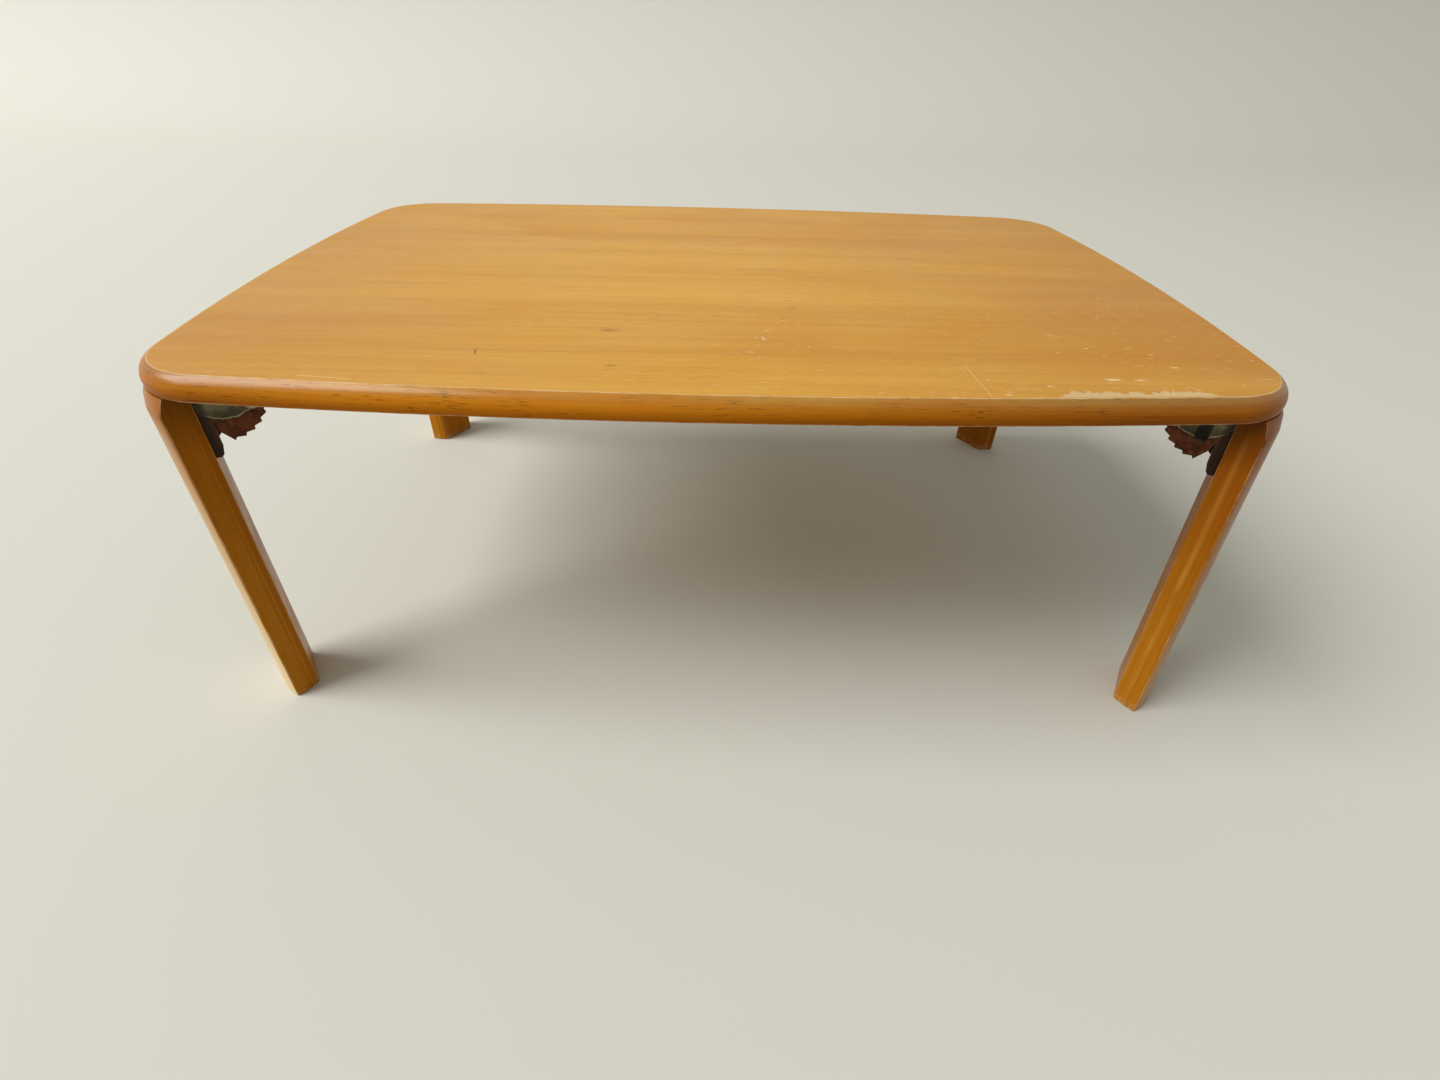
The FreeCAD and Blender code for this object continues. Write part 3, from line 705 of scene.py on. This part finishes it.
def joined(name, parts):
    """One mesh from several lists of points and faces."""
    points, faces, start = [], [], 0
    for part_points, part_faces in parts:
        points += part_points
        faces += [[start + k for k in face] for face in part_faces]
        start += len(part_points)
    return smooth_mesh(name, points, faces)


def put_values(mesh, name, values):
    """Store one value, or one vector, at each point of a mesh."""
    values = np.asarray(values, float)
    kind, field = ("FLOAT_VECTOR", "vector") if values.ndim == 2 else ("FLOAT", "value")
    layer = mesh.attributes.new(name, kind, "POINT")
    layer.data.foreach_set(field, values.ravel())


def new_object(name, data):
    """Object in the scene, made of a mesh, a lamp or a camera."""
    obj = bpy.data.objects.new(name, data)
    bpy.context.scene.collection.objects.link(obj)
    return obj


def add_piece(name, mesh, material, body, stands_for):
    """Object at the origin that rides on a body of the model, and stands for some of its nodes."""
    obj = new_object(name, mesh)
    mesh.materials.append(material)
    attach(obj, body)
    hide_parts(*stands_for)
    return obj


def edge_profile():
    """Inset and height round the section of the edge, from the underside to the upper arris and inside.

    The curve is one circle of radius r that touches the outline at height h above the underside:
    inset = r (1 - cos t), height = h + r sin t. It ends at both arrises.
    """
    rise = HEIGHT - UNDERSIDE
    share = TOP_ARRIS_INSET / BOTTOM_ARRIS_INSET
    total = rise ** 2 + TOP_ARRIS_INSET ** 2 - share * BOTTOM_ARRIS_INSET ** 2
    middle = total / (rise + math.sqrt(rise ** 2 - (1 - share) * total))
    radius = (middle ** 2 + BOTTOM_ARRIS_INSET ** 2) / (2 * BOTTOM_ARRIS_INSET)
    turn = np.linspace(-math.asin(middle / radius), math.asin((rise - middle) / radius), EDGE_STEPS)
    insets = radius * (1 - np.cos(turn))
    heights = UNDERSIDE + middle + radius * np.sin(turn)
    heights[0] += ARRIS_ROUND
    low = [UNDER_SHEET_INSET] + [BOTTOM_ARRIS_INSET + k * ARRIS_ROUND for k in (3, 1, 0.3)]
    insets = np.concatenate([low, insets, [TOP_ARRIS_INSET + ARRIS_ROUND, UNDER_SHEET_INSET]])
    low = [UNDERSIDE] * 3 + [UNDERSIDE + 0.3 * ARRIS_ROUND]
    heights = np.concatenate([low, heights, [HEIGHT - SHEET] * 2])
    shares = [-0.2, -0.08, -0.02, 0.0, *np.linspace(0.02, 1.0, EDGE_STEPS), 1.0, 1.0]
    return insets, heights, shares


def solid_edge(name, index):
    """Rounded solid edge along one side, from the middle of one corner to the middle of the next.

    Its closed section is carried along the run, and mitred at both ends.
    """
    before, side, after = OUTLINE[index - 1], OUTLINE[index], OUTLINE[(index + 1) % 8]
    run = run_of([(before, 0.5, 1.0, CORNER_STEPS), (side, 0.0, 1.0, SIDE_STEPS),
                  (after, 0.0, 0.5, CORNER_STEPS)])
    insets, heights, shares = edge_profile()
    lines = [at_height(run, inset, height) for inset, height in zip(insets, heights)]
    mesh = ring_mesh(name, np.stack(lines, axis=1), flip=True)
    length = length_along(moved_in(run, 0.0))
    along = np.repeat(length - length[-1] / 2, len(insets))
    across = np.tile(length_along(np.column_stack([insets, heights])), len(run[0]))
    grain_slice = np.full(len(along), index * 0.37)
    put_values(mesh, "grain place", np.column_stack([along, across, grain_slice]))
    put_values(mesh, "profile share", np.tile(shares, len(run[0])))
    return mesh


def top_face():
    """Flat veneered face in rings from the upper arris inwards, then drawn together to the middle."""
    run = run_of([(arc, 0.0, 1.0, FACE_STEPS[k % 2]) for k, arc in enumerate(OUTLINE)])
    rows = [at_height(run, TOP_ARRIS_INSET + step, HEIGHT) for step in FACE_RINGS]
    shares = np.linspace(0.9, 0.01, 16)
    rows += [rows[-1] * (share, share, 1.0) for share in shares]
    skirt = rows[0] - (0.0, 0.0, SHEET)
    points = np.array([skirt] + rows)[:, :-1]
    mesh = ring_mesh("top_face", points)
    distances = [0.0, *FACE_RINGS, *(FACE_RINGS[-1] + (1 - shares) * 0.2)]
    put_values(mesh, "arris distance", np.repeat(distances, points.shape[1]))
    return mesh


# Hinge frame
def hinge_axes(corner):
    """Origin of the hinge frame, and its directions into the table and along the leg's face."""
    side_x = -1 if "left" in corner else 1
    side_y = -1 if "front" in corner else 1
    inward = np.array([-side_x * math.cos(LEG_TURN), -side_y * math.sin(LEG_TURN), 0.0])
    along = np.array([-inward[1], inward[0], 0.0])
    origin = np.array([side_x * HINGE_X, side_y * HINGE_Y, UNDERSIDE])
    return origin, inward, along


def to_table(points, corner):
    """Points of the hinge frame carried to their corner of the table."""
    origin, inward, along = hinge_axes(corner)
    points = np.asarray(points, float)
    return origin + points[..., :1] * inward + points[..., 1:2] * along + points[..., 2:] * (0, 0, 1)


def splay_of(corner):
    """Splay of one leg, in radians."""
    return math.radians(LOOSE_SPLAY if corner == "front_right" else SPLAY)


def leaned(points, corner):
    """Points of the leg side turned about the hinge pin by the splay."""
    splay = splay_of(corner)
    x = points[..., 0] - PIN_REACH
    z = points[..., 2] + PIN_DROP
    turned = points.copy()
    turned[..., 0] = PIN_REACH + x * math.cos(splay) + z * math.sin(splay)
    turned[..., 2] = -PIN_DROP - x * math.sin(splay) + z * math.cos(splay)
    return turned


def fillet(before, corner, after, radius, count=7):
    """Points round a corner of an outline, on a circle that touches both sides."""
    back = (before - corner) / np.hypot(*(before - corner))
    ahead = (after - corner) / np.hypot(*(after - corner))
    half = math.acos(np.clip(back @ ahead, -1, 1)) / 2
    middle = corner + (back + ahead) / np.hypot(*(back + ahead)) * radius / math.sin(half)
    start = corner + back * radius / math.tan(half) - middle
    finish = corner + ahead * radius / math.tan(half) - middle
    first = math.atan2(start[1], start[0])
    sweep = (math.atan2(finish[1], finish[0]) - first + math.pi) % (2 * math.pi) - math.pi
    turn = first + sweep * np.linspace(0, 1, count)
    return middle + radius * np.stack([np.cos(turn), np.sin(turn)], axis=1)


def leg_outline():
    """Section of the leg with softened edges, and how near each point is to an edge and to a ridge.

    Inner flat, two slanted sides with a faint ridge along the middle, and a round outer side on the
    circle through three points: its radius is (a^2 + b^2) / 2b for the half chord a and the rise b.
    """
    flat, half = LEG_FLAT / 2, LEG_WIDTH / 2
    rise = LEG_THICKNESS - LEG_RIDGE
    radius = (half ** 2 + rise ** 2) / (2 * rise)
    reach = math.asin(half / radius)
    turn = np.linspace(reach, -reach, 27)
    outer = np.stack([radius - LEG_THICKNESS - radius * np.cos(turn), radius * np.sin(turn)], axis=1)
    inner = [np.array([0.0, -flat]), np.array([0.0, flat])]
    outward = np.array([half - flat, LEG_RIDGE])
    far_ridge = np.array([-LEG_RIDGE / 2, (flat + half) / 2]) + outward / np.hypot(*outward) * SIDE_RIDGE
    near_ridge = far_ridge * (1, -1)
    edge, ridge, plain = (1.0, 0.0), (0.0, 1.0), (0.0, 0.0)
    parts = [
        (fillet(near_ridge, inner[0], inner[1], LEG_ROUND), edge),
        (fillet(inner[0], inner[1], far_ridge, LEG_ROUND), edge),
        (fillet(inner[1], far_ridge, outer[0], RIDGE_ROUND, 9), ridge),
        (fillet(far_ridge, outer[0], outer[1], LEG_ROUND), edge),
        (outer[3:-3], plain),
        (fillet(outer[-2], outer[-1], near_ridge, LEG_ROUND), edge),
        (fillet(outer[-1], near_ridge, inner[0], RIDGE_ROUND, 9), ridge),
    ]
    points = np.concatenate([piece for piece, kind in parts])
    shares = [np.outer(np.sin(np.linspace(0, math.pi, len(piece))), kind) for piece, kind in parts]
    edge_share, ridge_share = np.concatenate(shares).T
    return points, edge_share, ridge_share


def leg_board(corner):
    """Leg: its section at many levels, leaned about the pin, cut level, and trimmed to the table's corner."""
    section, wear, ridge = leg_outline()
    middle = section.mean(axis=0)
    top = UNDERSIDE - LEG_TOP_GAP
    between = np.linspace(END_ZONE, top - END_ZONE, LEG_ROWS)
    levels = np.concatenate([END_LEVELS, between, top - END_LEVELS[::-1]])
    shrink = np.concatenate([END_SHRINK, np.zeros(LEG_ROWS), END_SHRINK[::-1]])
    splay = splay_of(corner)
    rows = []
    for level, share in zip(levels, shrink):
        flat = section * (1 - share) + middle * share
        x = flat[:, 0] - PIN_REACH
        z = (level - UNDERSIDE + PIN_DROP + x * math.sin(splay)) / math.cos(splay)
        lean = PIN_REACH + x * math.cos(splay) + z * math.sin(splay)
        row = np.column_stack([lean, flat[:, 1], np.full(len(flat), level - UNDERSIDE)])
        rows.append(to_table(row, corner))
    points = np.array(rows)
    side = np.sign(hinge_axes(corner)[0][:2])
    centre = CORNER_CENTRE * side
    depth = (UNDERSIDE - points[..., 2]) / TRIM_DEPTH
    offset = points[..., :2] - centre
    distance = np.hypot(offset[..., 0], offset[..., 1])
    limit = np.where(depth < 1, CORNER_RADIUS + TRIM_FLARE * depth, 1.0)
    points[..., :2] = centre + offset * np.minimum(1.0, limit / distance)[..., None]
    mesh = ring_mesh("leg_board_" + corner, points)
    outer = section[:, 0] < -LEG_RIDGE - 0.0005
    for name, values in (("edge wear", wear), ("side ridge", ridge), ("outer side", outer)):
        put_values(mesh, name, np.tile(values, len(levels)))
    height = np.repeat(levels, len(section))
    around = np.tile(length_along(section), len(levels))
    grain_slice = np.full(len(height), side[0] * 0.21 + side[1] * 0.13)
    put_values(mesh, "grain place", np.column_stack([height, around, grain_slice]))
    return mesh


# Small hardware
def spin(profile, count):
    """Points and faces of a profile of (radius, height) turned about z. Both ends are capped."""
    turn = np.linspace(0, 2 * math.pi, count, endpoint=False)
    radii, heights = np.array(profile).T
    points = np.stack([np.outer(radii, np.cos(turn)), np.outer(radii, np.sin(turn)),
                       np.outer(heights, np.ones(count))], axis=2)
    return points.reshape(-1, 3), ring_faces(len(profile), count)


def cross_recess(x, y):
    """Depth share of a cross recess: two bars, |x| and |y| below half a bar, that taper to a point."""
    arm = np.maximum(np.abs(x), np.abs(y))
    side = np.minimum(np.abs(x), np.abs(y))
    bar = np.clip((RECESS_BAR - side) / RECESS_WALL, 0, 1)
    reach = np.clip((RECESS_REACH - arm) / RECESS_TAPER, 0, 1)
    return bar * reach


def wood_screw():
    """Screw that points up, with its domed head below z = 0. Dome: z = -h (1 - (r / R)^2.6)^(1 / 2.2)."""
    share = np.concatenate([np.linspace(0.0, 0.62, 20)[1:], np.linspace(0.66, 0.999, 9)])[::-1]
    dome = -SCREW_HEIGHT * (1 - share ** 2.6) ** (1 / 2.2)
    rim = [(SCREW_SHANK, SCREW_LENGTH), (SCREW_SHANK, 0.0), (SCREW_RADIUS, 0.0)]
    profile = rim + [(SCREW_RADIUS * s, z) for s, z in zip(share, dome)]
    points, faces = spin(profile, 48)
    head = points[:, 2] < -0.0001
    points[head, 2] += RECESS_DEPTH * cross_recess(points[head, 0], points[head, 1])
    return points, [face[::-1] for face in faces]


def turned(points, angle):
    """Points turned about z."""
    cosine, sine = math.cos(angle), math.sin(angle)
    x, y = points[:, 0], points[:, 1]
    return np.column_stack([x * cosine - y * sine, x * sine + y * cosine, points[:, 2]])


def table_screws(corner):
    """Five screws under the top, each with its recess turned its own way."""
    points, faces = wood_screw()
    parts = []
    places = [(x, y, PLATE) for x, y in TABLE_SCREWS] + [(*LEAF_SCREW, LEAF_THICKNESS)]
    for number, (x, y, clamped) in enumerate(places):
        spot = turned(points, 0.9 * number + len(corner)) + (x, y, -clamped)
        parts.append((to_table(spot, corner).tolist(), faces))
    return joined("table_screw_heads_" + corner, parts)


def leg_screws(corner):
    """Four screws through the back plate into the leg. The screw's axis z is turned to -x."""
    points, faces = wood_screw()
    parts = []
    for number, (y, z) in enumerate(LEG_SCREWS):
        spot = turned(points, 1.3 * number + 0.4 * len(corner))
        lying = np.column_stack([PLATE - spot[:, 2], spot[:, 1] + y, spot[:, 0] + z])
        parts.append((to_table(leaned(lying, corner), corner).tolist(), faces))
    return joined("leg_screw_heads_" + corner, parts)


def hinge_pins():
    """Four pins: a domed head at one end and a riveted tail at the other."""
    half, head, thick = PIN_HALF, PIN_HEAD, PIN_HEAD_THICKNESS
    turn = np.linspace(0, math.pi / 2, 8)[:-1]
    dome = [(PIN_FLAT + (head - PIN_FLAT) * math.sin(a), -half - thick * math.cos(a)) for a in turn]
    tail = [(PIN_RADIUS * math.cos(a), half + PIN_TAIL * math.sin(a)) for a in turn[1:]]
    profile = dome + [(head, -half), (PIN_RADIUS, -half), (PIN_RADIUS, half)] + tail
    points, faces = spin(profile, 40)
    parts = []
    for corner in CORNERS:
        lying = np.column_stack([PIN_REACH + points[:, 0], points[:, 2], points[:, 1] - PIN_DROP])
        parts.append((to_table(lying, corner).tolist(), [face[::-1] for face in faces]))
    return joined("pins", parts)


def softened(node, material, body, width):
    """Copy of a model piece with merged points and small rounded edges, which stands for it."""
    source = nodes[node]
    mesh = source.data.copy()
    mesh.transform(source.matrix_world)
    work = bmesh.new()
    work.from_mesh(mesh)
    bmesh.ops.remove_doubles(work, verts=work.verts, dist=1e-6)
    bmesh.ops.dissolve_limit(work, angle_limit=math.radians(1.0), verts=work.verts, edges=work.edges)
    work.to_mesh(mesh)
    work.free()
    mesh.materials.clear()
    mesh.polygons.foreach_set("material_index", np.zeros(len(mesh.polygons), int))
    mesh.polygons.foreach_set("use_smooth", np.ones(len(mesh.polygons), bool))
    obj = add_piece("soft_" + node, mesh, material, body, [node])
    bevel = obj.modifiers.new("soft edges", "BEVEL")
    bevel.width = width
    bevel.segments = 2
    bevel.limit_method = "ANGLE"
    bevel.angle_limit = math.radians(32)
    bevel.harden_normals = True


# Dress the model
def dress(names, material):
    """Give the nodes a material in all their slots."""
    for name in names:
        obj = nodes[name]
        if not obj.material_slots:
            obj.data.materials.append(material)
        for slot in obj.material_slots:
            slot.material = material


FACE = face_veneer()
AMBER = edge_wood()
LEG = leg_wood()
RAW = core_wood()
ZINC = metal("dull zinc", rgb(0.180, 0.160, 0.088), rgb(0.080, 0.066, 0.032), rgb(0.10, 0.045, 0.014),
             rgb(0.40, 0.33, 0.20), 0.35, 0.45, 0.65, 0.58, ear_zones)
BROWN = metal("brown lacquer with rust", rgb(0.140, 0.034, 0.006), rgb(0.060, 0.014, 0.003),
              rgb(0.20, 0.058, 0.010), rgb(0.36, 0.17, 0.06), 0.0, 0.45, 0.70, 0.54)
DARK = metal("dark spring steel", rgb(0.022, 0.018, 0.013), rgb(0.012, 0.010, 0.007),
             rgb(0.06, 0.03, 0.014), rgb(0.16, 0.13, 0.09), 0.5, 0.35, 0.5, 0.62)
SCREW = metal("dull screw steel", rgb(0.40, 0.36, 0.27), rgb(0.20, 0.175, 0.12),
              rgb(0.20, 0.09, 0.035), rgb(0.55, 0.49, 0.37), 0.8, 0.35, 0.55, 0.60)

dress(["top_sheet"], FACE)
dress(["bottom_sheet"], under_veneer())
dress(["edge_front", "edge_back", "edge_left", "edge_right"], AMBER)
dress([name for name in nodes if name.startswith(("core_slat", "corner_block"))], RAW)
dress(["hinge_pins"], SCREW)
for kind, material in (("leg_", LEG), ("leg_bracket_", ZINC), ("table_bracket_", BROWN),
                       ("detent_leaf_", DARK), ("table_screws_", SCREW), ("leg_screws_", SCREW)):
    dress([kind + corner for corner in CORNERS], material)

TOP = "table top"
add_piece("top_face", top_face(), FACE, TOP, ["top_sheet"])
for side, index in (("back", 1), ("left", 3), ("front", 5), ("right", 7)):
    add_piece("solid_edge_" + side, solid_edge("solid_edge_" + side, index), AMBER, TOP,
              ["edge_" + side])
add_piece("pins", hinge_pins(), SCREW, TOP, ["hinge_pins"])
for corner in CORNERS:
    turning = "leg " + corner.replace("_", " ")
    add_piece("leg_board_" + corner, leg_board(corner), LEG, turning, ["leg_" + corner])
    add_piece("table_screw_heads_" + corner, table_screws(corner), SCREW, TOP,
              ["table_screws_" + corner])
    add_piece("leg_screw_heads_" + corner, leg_screws(corner), SCREW, turning,
              ["leg_screws_" + corner])
    softened("leg_bracket_" + corner, ZINC, turning, PLATE_BEVEL)
    softened("table_bracket_" + corner, BROWN, TOP, PLATE_BEVEL)
    softened("detent_leaf_" + corner, DARK, TOP, LEAF_BEVEL)


# Floor, lamps and camera
def floor_and_backdrop():
    """One pale sheet: flat floor, then a quarter round, then an upright wall behind.

    Along the depth parameter the section is a straight run, a quarter circle and a straight rise.
    """
    half, near, far, rise, bend = 6.0, -4.0, 3.2, 5.0, 1.2
    turn = np.linspace(0.0, math.pi / 2, 24)
    ys = np.concatenate([[near], far + bend * np.sin(turn), [far + bend]])
    zs = np.concatenate([[0.0], bend - bend * np.cos(turn), [rise]])
    rows = len(ys)
    xs = np.array([-half, half])
    points = np.stack([np.tile(xs, rows), np.repeat(ys, 2), np.repeat(zs, 2)], axis=1)
    first = np.arange(rows - 1) * 2
    faces = np.stack([first, first + 1, first + 3, first + 2], axis=1)
    mesh = smooth_mesh("studio floor", points.tolist(), faces.tolist())
    obj = new_object("studio_floor", mesh)
    material, graph, shader = new_material("pale floor")
    shader.inputs["Base Color"].default_value = rgb(0.625, 0.62, 0.555)
    shader.inputs["Roughness"].default_value = 0.85
    mesh.materials.append(material)


def soft_lamp(name, place, aim, width, height, power):
    """Large soft lamp that faces a point."""
    data = bpy.data.lights.new(name, "AREA")
    data.shape = "RECTANGLE"
    data.size = width
    data.size_y = height
    data.energy = power
    lamp = new_object(name, data)
    lamp.location = place
    lamp.rotation_euler = (Vector(aim) - Vector(place)).to_track_quat("-Z", "Y").to_euler()


def light_up():
    """Even pale surroundings, paler where they are seen or mirrored, with one large lamp on the left."""
    world = bpy.data.worlds.new("even daylight")
    bpy.context.scene.world = world
    world.use_nodes = True
    back = world.node_tree.nodes["Background"]
    back.inputs["Color"].default_value = rgb(1.0, 0.98, 0.91)
    graph = Graph(world.node_tree)
    rays = graph.add("ShaderNodeLightPath").outputs
    shown = graph.greatest(rays["Is Camera Ray"], rays["Is Glossy Ray"], rays["Is Transmission Ray"])
    graph.tree.links.new(graph.span(shown, 0.0, 1.0, 0.36, 0.70), back.inputs["Strength"])
    soft_lamp("sky lamp", (-9.0, -2.2, 9.8), (0.0, 0.0, 0.2), 8.5, 8.5, 1850.0)


def photo_camera():
    """Camera at the photograph's place, found from the outline of the top and the feet."""
    data = bpy.data.cameras.new("photo camera")
    data.sensor_width = 36.0
    data.lens = 17.287
    data.clip_start = 0.02
    data.clip_end = 50.0
    camera = new_object("photo camera", data)
    camera.location = (-0.00883, -0.73165, 0.53830)
    camera.rotation_euler = [math.radians(angle) for angle in (52.830, -1.400, -0.236)]
    bpy.context.scene.camera = camera


floor_and_backdrop()
light_up()
photo_camera()
bpy.context.scene.view_settings.view_transform = "Standard"
